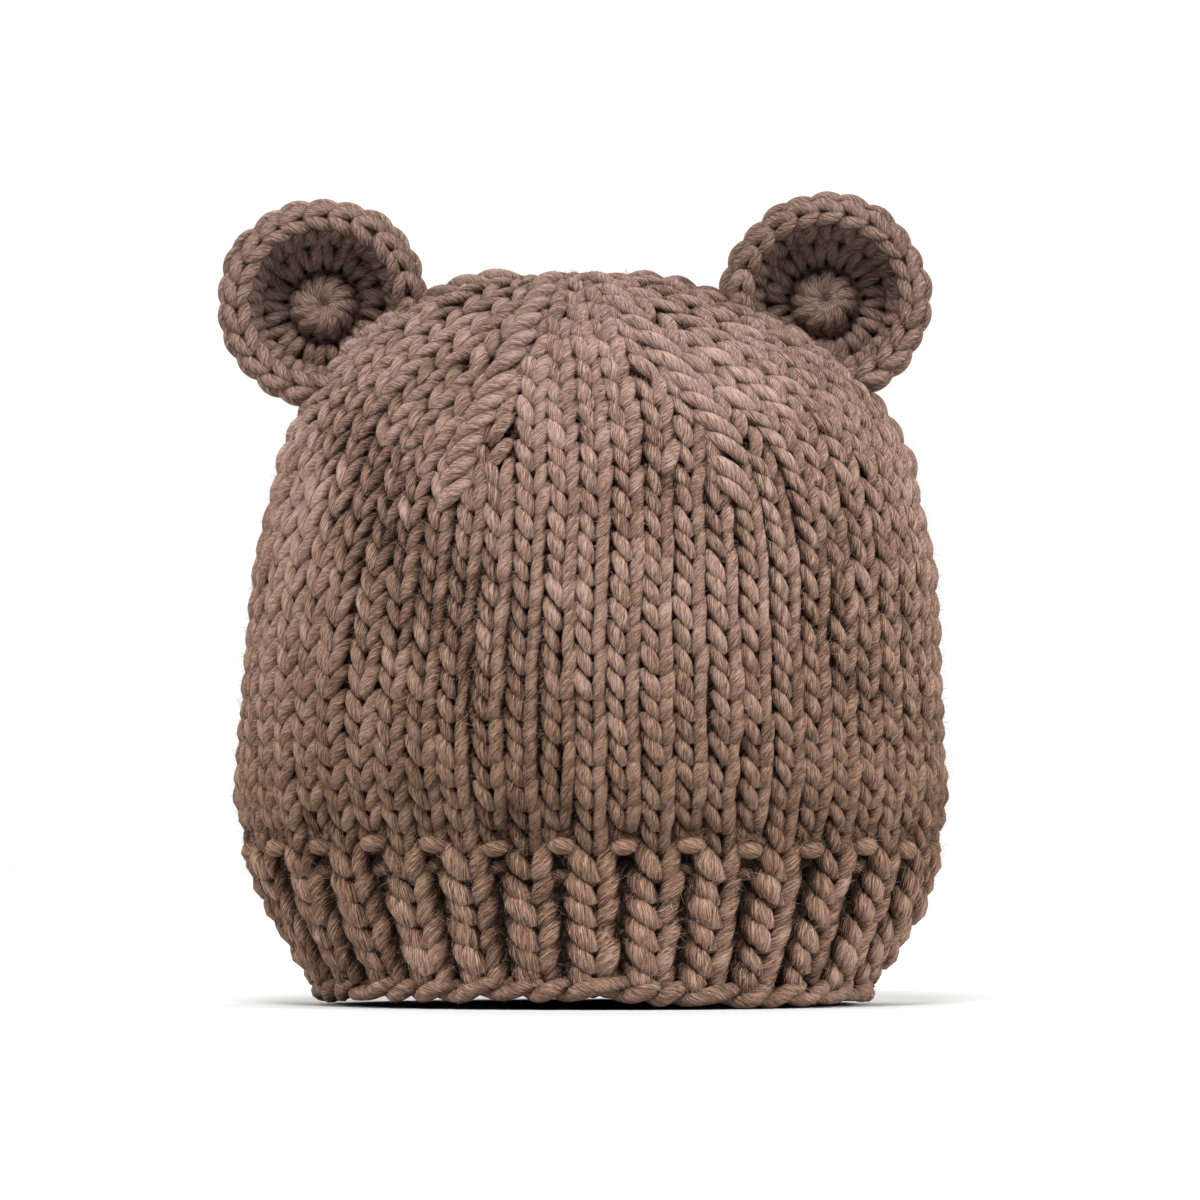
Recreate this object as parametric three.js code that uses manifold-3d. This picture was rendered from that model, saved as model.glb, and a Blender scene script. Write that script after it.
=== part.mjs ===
// A hand-knitted baby hat with two crocheted ears, in millimetres.
// +Z is up, the front looks along -Y, and the origin is under the middle of the hat, at the floor.
// The crown and the ribbed band are hollow walls of thick knitting, and the hat stands open side down
// on its cast-on edge. The ears are crocheted cups that open to the front and are sewn to the crown.
import * as THREE from "three";
import Module from "manifold-3d";

const wasm = await Module();
wasm.setup();

// Sizes of the whole hat
const hatWidth = 151; // outside, ear side to ear side, at the fullest row
const hatDepth = 104; // outside, front to back, at the fullest row
const hatHeight = 157; // floor to the middle of the crown
const hatLean = 3.5; // the hat stands askew: where it leans most, its middle lies this far to the right
const knitWall = 6; // thickness of the stockinette
const seatGap = 0.3; // left between pieces that touch

// The ribbed band and the cast-on edge under it
const bandHeight = 33; // floor to the row where the ribs stop
const mouthWidth = 116; // outside, at the floor
const mouthDepth = 90;
const ribCount = 28;
const ribRelief = 1.8; // how far a rib stands in front of the wall's mean line, and a furrow behind it
const bandWall = 5.4;
const edgeHeight = 5.2; // of the cast-on edge
const edgeWall = 6.4;

// The crown's decrease lines, where one stitch in each wedge is knitted away in every other round
const wedgeCount = 6;
const firstLine = -4.5 / 56; // share of the way round from the front at which a line runs
const lineGather = 0.45; // how far the lines draw together in front and behind, near the top
const lineDepth = 1.5; // of the furrow along a line
const lineWidth = 5; // of that furrow, half of it, measured round the fullest row

// The ears
const earRadius = 23; // of the rim
const earDepth = 17; // rim to the back of the cup
const earLift = 10.6; // centre of the ear over the crown's outside
const earSeat = 0.872; // share of the crown's rise at which the ears are sewn on
const earShift = -1.6; // of both ears to the left, beside the leaning crown
const earForward = 6; // from the hat's middle plane to the rim

// Facets
const wedgeFacets = 13; // round the crown, in each wedge
const crownRings = 16;
const ribFacets = 4; // round the band, in each rib
const bandRings = 4;
const earFacets = 32;

const yarn = { color: 0x8c7364, roughness: 0.95, metalness: 0 };

// The lean. "up" is a share of the hat's height and "right" a share of hatLean.
const leanOutline = [
  { up: 0.0, right: 0.86 },
  { up: 0.2, right: 0.72 },
  { up: 0.38, right: 0.54 },
  { up: 0.5, right: 0.68 },
  { up: 0.6, right: 0.9 },
  { up: 0.74, right: 1.0 },
  { up: 0.86, right: 0.62 },
  { up: 0.95, right: -0.25 },
  { up: 1.0, right: -0.55 },
];

// The crown's outline. "up" is a share of the rise from the band to the top, and "across" and "deep"
// are shares of the hat's half width and half depth.
const crownOutline = [
  { up: 0.0, across: 0.988, deep: 0.86 },
  { up: 0.12, across: 1.0, deep: 0.955 },
  { up: 0.23, across: 0.998, deep: 1.0 },
  { up: 0.42, across: 0.974, deep: 1.0 },
  { up: 0.5, across: 0.96, deep: 0.985 },
  { up: 0.6, across: 0.918, deep: 0.94 },
  { up: 0.69, across: 0.876, deep: 0.885 },
  { up: 0.77, across: 0.803, deep: 0.805 },
  { up: 0.855, across: 0.681, deep: 0.68 },
  { up: 0.895, across: 0.588, deep: 0.587 },
  { up: 0.937, across: 0.464, deep: 0.463 },
  { up: 0.978, across: 0.309, deep: 0.3 },
  { up: 0.995, across: 0.142, deep: 0.14 },
  { up: 1.0, across: 0.0, deep: 0.0 },
];

// The band's outline. "flare" is how far it has gone from the mouth's size to the crown's lowest ring,
// and "waist" is a share of the rib's relief by which the wall is drawn in.
const bandOutline = [
  { up: 0.0, flare: 0.0, waist: 0.0 },
  { up: 0.3, flare: 0.36, waist: 0.1 },
  { up: 0.62, flare: 0.74, waist: 0.0 },
  { up: 0.82, flare: 0.93, waist: 0.3 },
  { up: 1.0, flare: 1.0, waist: 0.75 },
];

// The ear's section, from the middle of its hollow over the rim to the middle of its back.
// "out" is a share of the rim's radius and "back" a share of the depth behind the rim's plane.
const earSection = [
  { out: 0.0, back: 0.6 },
  { out: 0.2, back: 0.57 },
  { out: 0.35, back: 0.66 },
  { out: 0.58, back: 0.6 },
  { out: 0.73, back: 0.36 },
  { out: 0.8, back: 0.1 },
  { out: 0.87, back: 0.0 },
  { out: 0.95, back: 0.03 },
  { out: 1.0, back: 0.16 },
  { out: 0.98, back: 0.4 },
  { out: 0.87, back: 0.68 },
  { out: 0.62, back: 0.92 },
  { out: 0.3, back: 1.0 },
  { out: 0.0, back: 1.0 },
];

// A value from a table's column, smooth between its rows.
function tableValue(table, key, column, at) {
  const last = table.length - 1;
  let row = 0;
  while (row < last - 1 && table[row + 1][key] < at) row += 1;
  const [a, b] = [table[row], table[row + 1]];
  const before = table[Math.max(row - 1, 0)];
  const after = table[Math.min(row + 2, last)];
  const span = b[key] - a[key];
  const slopeA = (b[column] - before[column]) / (b[key] - before[key]);
  const slopeB = (after[column] - a[column]) / (after[key] - a[key]);
  const t = THREE.MathUtils.clamp((at - a[key]) / span, 0, 1);
  const t2 = t * t;
  const t3 = t2 * t;
  return (
    (2 * t3 - 3 * t2 + 1) * a[column] +
    (t3 - 2 * t2 + t) * span * slopeA +
    (3 * t2 - 2 * t3) * b[column] +
    (t3 - t2) * span * slopeB
  );
}

// How far the hat's middle lies to the right at a height.
const leanAt = (z) => hatLean * tableValue(leanOutline, "up", "right", z / hatHeight);

// Angles that divide an ellipse of that aspect (depth over width) into equal lengths, from the front
// round to the right.
function evenAngles(count, aspect) {
  const fine = 720;
  const lengths = [0];
  for (let i = 1; i <= fine; i += 1) {
    const middle = ((i - 0.5) / fine) * 2 * Math.PI;
    const step = Math.hypot(Math.cos(middle), aspect * Math.sin(middle));
    lengths.push(lengths[i - 1] + step);
  }
  const whole = lengths[fine];
  const angles = [];
  let i = 0;
  for (let n = 0; n < count; n += 1) {
    const wanted = (n / count) * whole;
    while (lengths[i + 1] < wanted) i += 1;
    const part = (wanted - lengths[i]) / (lengths[i + 1] - lengths[i]);
    angles.push(((i + part) / fine) * 2 * Math.PI);
  }
  return angles;
}

// A closed skin over rings of points. The rings follow one another round the section of the shape, each
// turns the same way, and the last one joins the first. A ring of one point ends the skin there.
function skinGeometry(rings) {
  const points = [];
  const faces = [];
  const indexed = rings.map((ring) => ring.map((p) => points.push(p) - 1));
  indexed.forEach((low, k) => {
    const high = indexed[(k + 1) % indexed.length];
    const count = Math.max(low.length, high.length);
    for (let i = 0; i < count; i += 1) {
      const j = (i + 1) % count;
      if (low.length > 1) faces.push(low[i], low[j], high[j % high.length]);
      if (high.length > 1) faces.push(low[i % low.length], high[j], high[i]);
    }
  });
  const geometry = new THREE.BufferGeometry();
  geometry.setFromPoints(points);
  geometry.setIndex(faces);
  geometry.computeVertexNormals();
  return geometry;
}

// A hollow wall: up the outside and down the inside.
function wallGeometry(outer, inner) {
  return skinGeometry([...outer, ...inner.toReversed()]);
}

// The crown
const crownFoot = bandHeight + seatGap;
const crownRise = hatHeight - crownFoot;
const halfWidth = hatWidth / 2;
const halfDepth = hatDepth / 2;
const roundLength = Math.PI * (halfWidth + halfDepth);

// How far the decrease lines draw the wall in, at a share of the way round and of the rise.
function lineFurrow(round, up) {
  const gather = lineGather * THREE.MathUtils.smoothstep(up, 0.78, 0.97);
  const even = round + (gather * Math.sin(round * 4 * Math.PI)) / (4 * Math.PI);
  const turn = (even - firstLine) * wedgeCount;
  const off = Math.abs(turn - Math.round(turn)) / wedgeCount;
  const across = (off * roundLength) / lineWidth;
  const start = THREE.MathUtils.smoothstep(up, 0.6, 0.85);
  const end = 1 - THREE.MathUtils.smoothstep(up, 0.94, 1);
  return lineDepth * start * end * Math.exp(-across * across);
}

// A point of the crown's outside and the direction out of the wall, in the meridian's plane.
function crownPoint(round, angle, up, outward = 0) {
  const at = (share) => {
    const furrow = lineFurrow(round, share);
    const across = tableValue(crownOutline, "up", "across", share) * halfWidth - furrow;
    const deep = tableValue(crownOutline, "up", "deep", share) * halfDepth - furrow;
    const z = crownFoot + share * crownRise;
    return new THREE.Vector3(
      Math.max(across, 0) * Math.sin(angle) + leanAt(z),
      -Math.max(deep, 0) * Math.cos(angle),
      z,
    );
  };
  const point = at(up);
  if (outward === 0) return point;
  const small = 0.004;
  const along = at(Math.min(up + small, 1)).sub(at(Math.max(up - small, 0)));
  const side = new THREE.Vector3(Math.sin(angle), -Math.cos(angle), 0);
  const run = along.dot(side);
  const out = side.multiplyScalar(along.z).add(new THREE.Vector3(0, 0, -run));
  if (up === 0) out.setZ(0);
  return point.addScaledVector(out.normalize(), outward);
}

// Rings that lie closer together where the crown turns over.
function crownStack(outward) {
  const count = wedgeCount * wedgeFacets;
  const angles = evenAngles(count, hatDepth / hatWidth);
  const stack = [];
  for (let k = 0; k < crownRings; k += 1) {
    const up = Math.sin((k / crownRings) * (Math.PI / 2));
    stack.push(angles.map((angle, n) => crownPoint(n / count, angle, up, outward)));
  }
  stack.push([new THREE.Vector3(leanAt(hatHeight), 0, hatHeight + outward)]);
  return stack;
}

const crownGeometry = wallGeometry(crownStack(0), crownStack(-knitWall));

// The ribbed band and the cast-on edge
const crownFootAcross = crownOutline[0].across * halfWidth;
const crownFootDeep = crownOutline[0].deep * halfDepth;

function bandRing(up, z, inward, relief) {
  const flare = tableValue(bandOutline, "up", "flare", up);
  const waist = tableValue(bandOutline, "up", "waist", up) * relief;
  const across = THREE.MathUtils.lerp(mouthWidth / 2, crownFootAcross, flare) - waist;
  const deep = THREE.MathUtils.lerp(mouthDepth / 2, crownFootDeep, flare) - waist;
  const count = ribCount * ribFacets;
  const angles = evenAngles(count, mouthDepth / mouthWidth);
  return angles.map((angle, n) => {
    const rib = relief * (Math.cos((n / ribFacets) * 2 * Math.PI) - 1);
    const side = new THREE.Vector2(Math.sin(angle) / across, -Math.cos(angle) / deep);
    side.normalize().multiplyScalar(rib - inward);
    return new THREE.Vector3(
      across * Math.sin(angle) + side.x + leanAt(z),
      -deep * Math.cos(angle) + side.y,
      z,
    );
  });
}

function bandStack(inward) {
  const stack = [];
  for (let k = 0; k <= bandRings; k += 1) {
    const z = THREE.MathUtils.lerp(edgeHeight + seatGap, bandHeight, k / bandRings);
    stack.push(bandRing(z / bandHeight, z, inward, ribRelief));
  }
  return stack;
}

const bandGeometry = wallGeometry(bandStack(0), bandStack(bandWall));

// The edge bulges out and in a little at its middle, and its underside is the hat's flat rest.
function edgeStack(inward, bulge) {
  return [0, 0.3, 0.7, 1].map((up) => {
    const z = up * edgeHeight;
    const swell = bulge * Math.sin(up * Math.PI);
    return bandRing(z / bandHeight, z, inward - swell, ribRelief / 2);
  });
}

const edgeBulge = 0.5;
const edgeGeometry = wallGeometry(
  edgeStack(edgeBulge, edgeBulge),
  edgeStack(edgeWall - edgeBulge, -edgeBulge),
);

// The ears: a cup turned about its own axis, with what would lie in the crown cut off
function solidOf(geometry) {
  return new wasm.Manifold(
    new wasm.Mesh({
      numProp: 3,
      vertProperties: geometry.attributes.position.array,
      triVerts: new Uint32Array(geometry.index.array),
    }),
  );
}

function geometryOf(solid) {
  const mesh = solid.getMesh();
  const geometry = new THREE.BufferGeometry();
  geometry.setAttribute("position", new THREE.BufferAttribute(mesh.vertProperties, 3));
  geometry.setIndex(new THREE.BufferAttribute(mesh.triVerts, 1));
  geometry.computeVertexNormals();
  return geometry;
}

// The crown's outside, grown by the gap and closed at its foot
function crownBlock() {
  const stack = crownStack(seatGap);
  return solidOf(skinGeometry([[new THREE.Vector3(leanAt(crownFoot), 0, crownFoot)], ...stack]));
}

function earCup(side) {
  const round = 0.5 - side / 4;
  const centre = crownPoint(round, (side * Math.PI) / 2, earSeat, earLift);
  const rings = earSection.map((row) => {
    const radius = row.out * earRadius;
    const count = radius === 0 ? 1 : earFacets;
    return Array.from({ length: count }, (unused, n) => {
      const turn = (n / count) * 2 * Math.PI;
      return new THREE.Vector3(
        centre.x + earShift + radius * Math.cos(turn),
        row.back * earDepth - earForward,
        centre.z - radius * Math.sin(turn),
      );
    });
  });
  return skinGeometry(rings);
}

const cutter = crownBlock();
const seatedEar = (side) => geometryOf(solidOf(earCup(side)).subtract(cutter));

// The assembly
function namedMesh(name, geometry) {
  const mesh = new THREE.Mesh(geometry, new THREE.MeshStandardMaterial(yarn));
  mesh.name = name;
  return mesh;
}

const hat = new THREE.Group();
hat.add(
  namedMesh("crown", crownGeometry),
  namedMesh("rib_band", bandGeometry),
  namedMesh("cast_on_edge", edgeGeometry),
  namedMesh("ear_left", seatedEar(-1)),
  namedMesh("ear_right", seatedEar(1)),
);

export default hat;
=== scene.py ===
import math

import bpy
import numpy as np
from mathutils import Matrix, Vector


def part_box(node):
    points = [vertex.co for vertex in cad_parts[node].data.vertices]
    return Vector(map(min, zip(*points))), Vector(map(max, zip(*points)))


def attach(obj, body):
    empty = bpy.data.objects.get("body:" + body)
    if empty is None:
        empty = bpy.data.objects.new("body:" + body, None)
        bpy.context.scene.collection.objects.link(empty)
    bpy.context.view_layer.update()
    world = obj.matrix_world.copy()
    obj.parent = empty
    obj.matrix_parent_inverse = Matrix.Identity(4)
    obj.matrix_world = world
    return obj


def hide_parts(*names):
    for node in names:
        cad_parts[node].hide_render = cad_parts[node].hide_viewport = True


# A hand-knitted baby hat, built yarn by yarn: each round of knitting is one loop of yarn that runs
# round the hat through all its stitches. Sizes are in millimetres until a mesh is made.
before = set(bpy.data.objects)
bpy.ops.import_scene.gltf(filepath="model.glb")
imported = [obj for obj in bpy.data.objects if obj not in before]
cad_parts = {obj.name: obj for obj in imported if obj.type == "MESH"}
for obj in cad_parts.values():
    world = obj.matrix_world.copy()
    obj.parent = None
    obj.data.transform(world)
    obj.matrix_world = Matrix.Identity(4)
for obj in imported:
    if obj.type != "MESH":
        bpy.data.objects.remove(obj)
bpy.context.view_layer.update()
mm = 0.001
tau = 2 * math.pi
tiny = 1e-9


def nodeBox(node):
    low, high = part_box(node)
    return np.array(low) / mm, np.array(high) / mm


def smooth(x, a, b):
    t = np.clip((x - a) / (b - a), 0, 1)
    return t * t * (3 - 2 * t)


def relaxed(line, passes):
    for _ in range(passes):
        line[1:-1] = (line[:-2] + 2 * line[1:-1] + line[2:]) / 4
    return line


def running(steps):
    return np.concatenate([[0], np.cumsum(steps)])


def newObject(name, data):
    made = bpy.data.objects.new(name, data)
    bpy.context.collection.objects.link(made)
    return made


def newPiece(name, mesh, node):
    piece = newObject(name, mesh)
    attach(piece, "root")
    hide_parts(node)
    print(name, len(mesh.polygons) * 2, "triangles")
    return piece


def unit(vectors):
    return vectors / np.maximum(np.linalg.norm(vectors, axis=-1, keepdims=True), tiny)


# A smooth random wave round the hat
def wobble(seed, count, low, high):
    r = np.random.default_rng(seed)
    waves = r.integers(low, high, count)
    phases = r.uniform(0, tau, count)
    sizes = r.normal(0, 1, count) / math.sqrt(count)
    return lambda x: sum(size * np.sin(tau * n * x + p) for size, n, p in zip(sizes, waves, phases))


# The hat's form, as in the CAD
crownLow, crownHigh = nodeBox("crown")
form = {
    "halfWidth": (crownHigh[0] - crownLow[0]) / 2,
    "halfDepth": 52.0,
    "mouthHalfWidth": 58.0,
    "mouthHalfDepth": 45.0,
    "foot": crownLow[2],
    "top": crownHigh[2],
    "lean": [  # share of the height, and how far the hat's middle lies to the right there
        (0.0, 3.0), (0.2, 2.5), (0.38, 1.9), (0.5, 2.4), (0.6, 3.15),
        (0.74, 3.5), (0.86, 2.2), (0.95, -0.9), (1.0, -1.9),
    ],
    "crown": [  # share of the crown's rise, and its shares of the half width and the half depth
        (0.0, 0.988, 0.86), (0.12, 1.0, 0.955), (0.23, 0.998, 1.0), (0.42, 0.974, 1.0),
        (0.5, 0.96, 0.985), (0.6, 0.918, 0.94), (0.69, 0.876, 0.885), (0.77, 0.803, 0.805),
        (0.855, 0.681, 0.68), (0.895, 0.588, 0.587), (0.937, 0.464, 0.463),
        (0.978, 0.309, 0.3), (0.995, 0.142, 0.14), (1.0, 0.0, 0.0),
    ],
    # share of the band's height, and how far it has widened from the mouth to the crown
    "bandFlare": [(0.0, 0.0), (0.3, 0.36), (0.62, 0.74), (0.82, 0.93), (1.0, 1.0)],
    "points": 400,  # of the profile
    "relaxed": 60,  # times that the profile is smoothed
    "leanPoints": 200,
    "leanRelaxed": 80,
}
knit = {
    "columns": 56,
    "ribRows": 6,
    "ribFoot": 3.0,  # where the first round of ribbing starts, over the floor
    "rowHeight": 4.75,
    "taller": 0.38,  # how much taller the rounds get towards the pole
    "tallerFrom": (0.55, 0.95),  # shares of the crown's rounds between which they do
    "tallerMean": 0.25,  # the share of it that a mean round gets
    "polar": 0.9,  # how closely the high rounds keep their distance from the pole
    "polarFrom": (23, 9),  # rounds before the pole between which they start to
    "steps": 16,  # rings of vertices in a stitch
    "gridRows": 8,  # rows of the grid in a round
    "gridColumns": 16,  # columns of the grid in a stitch
    "gridTurn": 361,  # points of a ring before they are spaced evenly
}


# One profile from the floor to the pole, and the length along its front
def hatProfile():
    crown = np.array(form["crown"])
    flare = np.array(form["bandFlare"])[:-1]
    half = np.array([form["halfWidth"], form["halfDepth"]])
    mouth = np.array([form["mouthHalfWidth"], form["mouthHalfDepth"]])
    foot = crown[0, 1:] * half
    rise = form["top"] - form["foot"]
    band = np.column_stack([flare[:, 0] * form["foot"], mouth + (foot - mouth) * flare[:, 1:]])
    body = np.column_stack([form["foot"] + crown[:, 0] * rise, crown[:, 1:] * half])
    coarse = np.concatenate([band, body])
    # a finer and smoother line through these points
    length = running(np.hypot(np.diff(coarse[:, 0]), np.diff(coarse[:, 1])))
    fine = np.linspace(0, length[-1], form["points"])
    line = np.column_stack([np.interp(fine, length, coarse[:, k]) for k in range(3)])
    line = relaxed(line, form["relaxed"])
    return line, running(np.hypot(np.diff(line[:, 0]), np.diff(line[:, 2])))


# Where each round starts, as lengths along the front of the profile
def roundStarts():
    ribFoot = np.interp(knit["ribFoot"], profile[:, 0], profileLength)
    foot = np.interp(form["foot"], profile[:, 0], profileLength)
    whole = profileLength[-1] - foot
    count = int(round(whole / knit["rowHeight"] / (1 + knit["tallerMean"] * knit["taller"])))
    rib = np.linspace(ribFoot, foot, knit["ribRows"] + 1)
    tall = 1 + knit["taller"] * smooth((np.arange(count) + 0.5) / count, *knit["tallerFrom"])
    body = foot + whole * np.cumsum(tall) / tall.sum()
    return np.concatenate([rib, body]), count


profile, profileLength = hatProfile()
rowStarts, bodyRows = roundStarts()
allRows = knit["ribRows"] + bodyRows

leanTable = np.array(form["lean"])
leanHeight = np.linspace(0, form["top"], form["leanPoints"])
leanLine = np.interp(leanHeight / form["top"], leanTable[:, 0], leanTable[:, 1])
leanLine = relaxed(leanLine, form["leanRelaxed"])


def leanAt(z):
    return np.interp(z, leanHeight, leanLine)


# From 0 to 1 between two rounds, which are counted down from the pole
def towardsPole(v, first, last):
    return smooth(v, allRows - first, allRows - last)


# The hat's outside as a grid of points: each row is a level of a round, evenly spaced round it
gridAround = knit["gridColumns"] * knit["columns"]


def hatGrid():
    angle = np.linspace(0, tau, knit["gridTurn"])
    sine, cosine = np.sin(angle), np.cos(angle)
    index = np.arange(len(profile))
    rise, wider, deeper = np.diff(profile[::-1], axis=0).T
    step = np.sqrt(rise**2 + (wider * sine[:, None]) ** 2 + (deeper * cosine[:, None]) ** 2)
    fromPole = np.concatenate([np.zeros((len(angle), 1)), np.cumsum(step, axis=1)], axis=1)
    v = np.linspace(0, allRows, allRows * knit["gridRows"] + 1)
    length = np.interp(v, np.arange(allRows + 1), rowStarts)
    level = np.interp(length, profileLength, index)[:, None]
    # low rounds are level, and high ones keep their distance from the pole all the way round
    left = profileLength[-1] - length
    even = np.stack([np.interp(left, run, index[::-1]) for run in fromPole], axis=1)
    at = level + (even - level) * knit["polar"] * towardsPole(v, *knit["polarFrom"])[:, None]
    z, across, deep = [np.interp(at, index, profile[:, k]) for k in range(3)]
    rings = np.stack([across * sine + leanAt(z), -deep * cosine, z], axis=-1)
    sizes = np.linalg.norm(np.diff(rings, axis=1), axis=-1)
    around = np.concatenate([np.zeros((len(v), 1)), np.cumsum(sizes, axis=1)], axis=1)
    evenly = np.linspace(0, 1, gridAround + 1)
    points = np.empty((len(v), gridAround + 1, 3))
    for row, (ring, run) in enumerate(zip(rings, around)):
        for k in range(3):
            points[row, :, k] = np.interp(evenly, run / max(run[-1], tiny), ring[:, k])
    return v, points, around[:, -1]


gridRounds, grid, gridLengths = hatGrid()
print("form:", knit["ribRows"], "rounds of ribbing and", bodyRows, "of stockinette")


def ringLength(v):
    return np.interp(v, gridRounds, gridLengths)


# A point of the hat's outside at a share of the way round from the front, and round v
def surface(share, v):
    column = (share % 1) * gridAround
    i = np.minimum(column.astype(int), gridAround - 1)
    row = np.clip(v, 0, allRows) * knit["gridRows"]
    j = np.minimum(row.astype(int), len(grid) - 2)
    x, y = (column - i)[..., None], (row - j)[..., None]
    low = grid[j, i] * (1 - x) + grid[j, i + 1] * x
    high = grid[j + 1, i] * (1 - x) + grid[j + 1, i + 1] * x
    return low * (1 - y) + high * y


def surfaceNormal(share, v):
    aside, up = 0.0015, 0.15  # a share of the way round, and of a round
    along = surface(share + aside, v) - surface(share - aside, v)
    upwards = surface(share, np.minimum(v + up, allRows - 0.02)) - surface(share, v - up)
    return unit(np.cross(along, upwards))


# A line that lies on the hat at some depth, and its normals
def onCloth(share, v, depth):
    normal = surfaceNormal(share, v)
    return surface(share, v) + normal * depth[:, None], normal


# Wedges of the crown, between its decrease lines
wedges = {
    "stitches": [9, 10, 9, 9, 10, 9],  # from the front to the right
    "narrowFrom": (15, 9),  # rounds before the pole between which the wedges start to narrow
    "together": 0.45,  # how far the lines draw together in front and behind
    "togetherFrom": (12, 3),
}
wedgeSize = np.array(wedges["stitches"])
wedgeMiddle = np.cumsum(wedgeSize) - wedgeSize / 2 - wedgeSize[0] / 2
lineAt = (wedgeMiddle + wedgeSize / 2) / knit["columns"]
fullWidth = float(gridLengths.max()) / knit["columns"]


# The share of its stitches that a wedge still has at round v
def fullness(v):
    room = ringLength(v) / (knit["columns"] * fullWidth)
    narrow = towardsPole(v, *wedges["narrowFrom"])
    return np.clip(1 + (np.minimum(room, 1) - 1) * narrow, 0.1, 1)


def drawnTogether(share, v):
    near = wedges["together"] * towardsPole(v, *wedges["togetherFrom"])
    return share - near * np.sin(2 * tau * share) / (2 * tau)


# How a yarn is swept, and what its mesh tells the wool and the loose fibres
tube = {
    "sides": 8,
    "twist": 11.0,  # length of yarn in which its fibres go once round
    "flat": 0.94,  # its thickness through the cloth, as a share of its width
    "creaseShade": 3.1,  # how deep under the hat's outside the painted crease shade grows darkest
    "crevice": 0.78,  # and how dark that painted shade is
    "hairy": 1.2,  # how far round the yarn its loose fibres reach
    "bald": (1.2, 3.0),  # depths between which it loses them
}


# Gathers swept yarns and makes one mesh of them
class Yarn:
    def __init__(self, name):
        self.name = name
        self.verts, self.faces, self.uvs, self.tones, self.hairs = [], [], [], [], []
        self.count = 0

    # normals point out of the cloth, and depth is how far outside the hat the yarn's middle lies, which
    # sets how much painted crease shade it gets
    def add(self, centre, normal, radius, tone, depth=None, closed=True,
            sides=tube["sides"], keep=None, spin=1, crevice=tube["crevice"]):
        n = len(centre)
        if closed:
            tangent = np.roll(centre, -1, 0) - np.roll(centre, 1, 0)
        else:
            tangent = np.gradient(centre, axis=0)
        tangent = unit(tangent)
        out = unit(normal - (normal * tangent).sum(1, keepdims=True) * tangent)
        side = np.cross(tangent, out)
        angle = np.arange(sides) / sides * tau
        front = np.cos(angle)
        ring = front[None, :, None] * out[:, None, :] * tube["flat"]
        ring = ring + np.sin(angle)[None, :, None] * side[:, None, :]
        self.verts.append((centre[:, None, :] + ring * radius[:, None, None]).reshape(-1, 3))

        # quads from ring to ring
        i = np.arange(n if closed else n - 1)
        if keep is not None:
            i = i[keep[i] & keep[(i + 1) % n]]
        j = (i + 1) % n
        k = np.arange(sides)
        beside = (k + 1) % sides
        here, there = i[:, None] * sides, j[:, None] * sides
        quads = np.stack([here + k, here + beside, there + beside, there + k], axis=-1)
        self.faces.append(quads.reshape(-1, 4) + self.count)

        # the map's first value goes round the yarn, and its second counts the turns of its twist
        step = np.linalg.norm(np.roll(centre, -1, 0) - centre, axis=1)
        turns = running(step * spin) / tube["twist"]
        if closed:
            turns *= max(round(turns[-1]), 1) / turns[-1]
        around = np.broadcast_to(k / sides, (len(i), sides))
        a = np.broadcast_to(turns[i][:, None], (len(i), sides))
        b = np.broadcast_to(turns[i + 1][:, None], (len(i), sides))
        w = 1 / sides
        uv = np.stack([around, a, around + w, a, around + w, b, around, b], axis=-1)
        self.uvs.append(uv.reshape(-1, 2))

        # the sides of a yarn lie in the creases: they are painted with shade there, and get fewer loose
        # fibres
        hairy = np.broadcast_to(np.clip(front * tube["hairy"], 0, 1), (n, sides))
        if depth is None:
            creaseShade = (front - 1)[None, :] / 2 * crevice
        else:
            under = -(depth[:, None] + radius[:, None] * front[None, :])
            creaseShade = -crevice * smooth(under, 0.0, tube["creaseShade"])
            hairy = hairy * (1 - smooth(under, *tube["bald"]))
        self.tones.append((tone[:, None] + creaseShade).ravel())
        self.hairs.append(hairy.ravel())
        self.count += n * sides

    # a plain band of faces between two rings of points
    def sheet(self, low, high, tone, keep):
        n = len(low)
        self.verts.append(np.concatenate([low, high]))
        i = np.arange(n)[keep]
        j = (i + 1) % n
        self.faces.append(np.stack([i, j, j + n, i + n], axis=-1) + self.count)
        self.uvs.append(np.tile([[0, 0], [0.1, 0], [0.1, 0.1], [0, 0.1]], (len(i), 1)))
        self.tones.append(np.full(2 * n, tone))
        self.hairs.append(np.zeros(2 * n))
        self.count += 2 * n

    def build(self, material, node):
        verts = np.concatenate(self.verts) * mm
        faces = np.concatenate(self.faces)
        used = np.zeros(len(verts), bool)
        used[faces.ravel()] = True
        faces = (np.cumsum(used) - 1)[faces]
        mesh = bpy.data.meshes.new(self.name)
        mesh.vertices.add(used.sum())
        mesh.vertices.foreach_set("co", verts[used].ravel())
        mesh.loops.add(faces.size)
        mesh.loops.foreach_set("vertex_index", faces.ravel())
        mesh.polygons.add(len(faces))
        mesh.polygons.foreach_set("loop_start", np.arange(0, faces.size, 4))
        mesh.polygons.foreach_set("use_smooth", np.ones(len(faces), bool))
        mesh.update(calc_edges=True)
        uv = mesh.uv_layers.new(name="yarn")
        uv.data.foreach_set("uv", np.concatenate(self.uvs).ravel())
        for name, values in (("tone", self.tones), ("hairy", self.hairs)):
            attribute = mesh.attributes.new(name, "FLOAT", "POINT")
            attribute.data.foreach_set("value", np.concatenate(values)[used])
        mesh.validate()
        mesh.materials.append(material)
        return newPiece(self.name, mesh, node)


# Materials
def newMaterial(name):
    material = bpy.data.materials.new(name)
    material.use_nodes = True
    tree = material.node_tree
    return material, tree.nodes, tree.links, tree.nodes["Principled BSDF"]


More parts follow.
